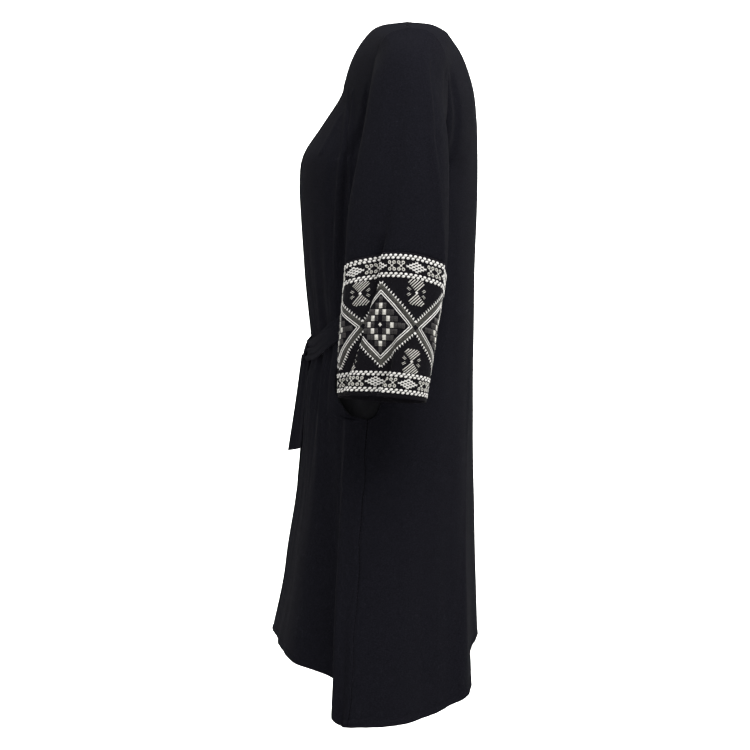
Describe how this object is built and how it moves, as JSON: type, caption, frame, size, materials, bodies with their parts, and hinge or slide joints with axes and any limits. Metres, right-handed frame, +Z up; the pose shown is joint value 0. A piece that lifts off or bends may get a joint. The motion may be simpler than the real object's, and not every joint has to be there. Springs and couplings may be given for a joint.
{
  "type": "belted manteau coat",
  "caption": "Knee-length black crepe manteau filled out as worn: overlapping fronts, curved hem, three-quarter sleeves with embroidered cuff bands, seam pockets and a knotted sash.",
  "frame": {"origin": "midway between the inner ends of the two shoulder seams, where the wearer's shoulders carry the garment", "axes": "+Z up, -Y the way the front faces, +X towards the wearer's left"},
  "size_m": [0.632, 0.295, 0.9582],
  "materials": {
    "crepe": "matte black crepe",
    "sash_crepe": "matte black crepe, double",
    "pocket_cloth": "plain black pocketing",
    "embroidered_band": "off-white and grey needlework on black"
  },
  "bodies": {
    "root": {"front_left": "crepe", "front_right": "crepe", "back": "crepe", "sleeve_left": "crepe", "cuff_band_left": "embroidered_band", "pocket_left": "pocket_cloth", "sash_left": "sash_crepe", "sleeve_right": "crepe", "cuff_band_right": "embroidered_band", "pocket_right": "pocket_cloth", "sash_right": "sash_crepe", "sash_knot": "sash_crepe", "sash_tail_left": "sash_crepe", "sash_tail_right": "sash_crepe"}
  },
  "joints": []
}
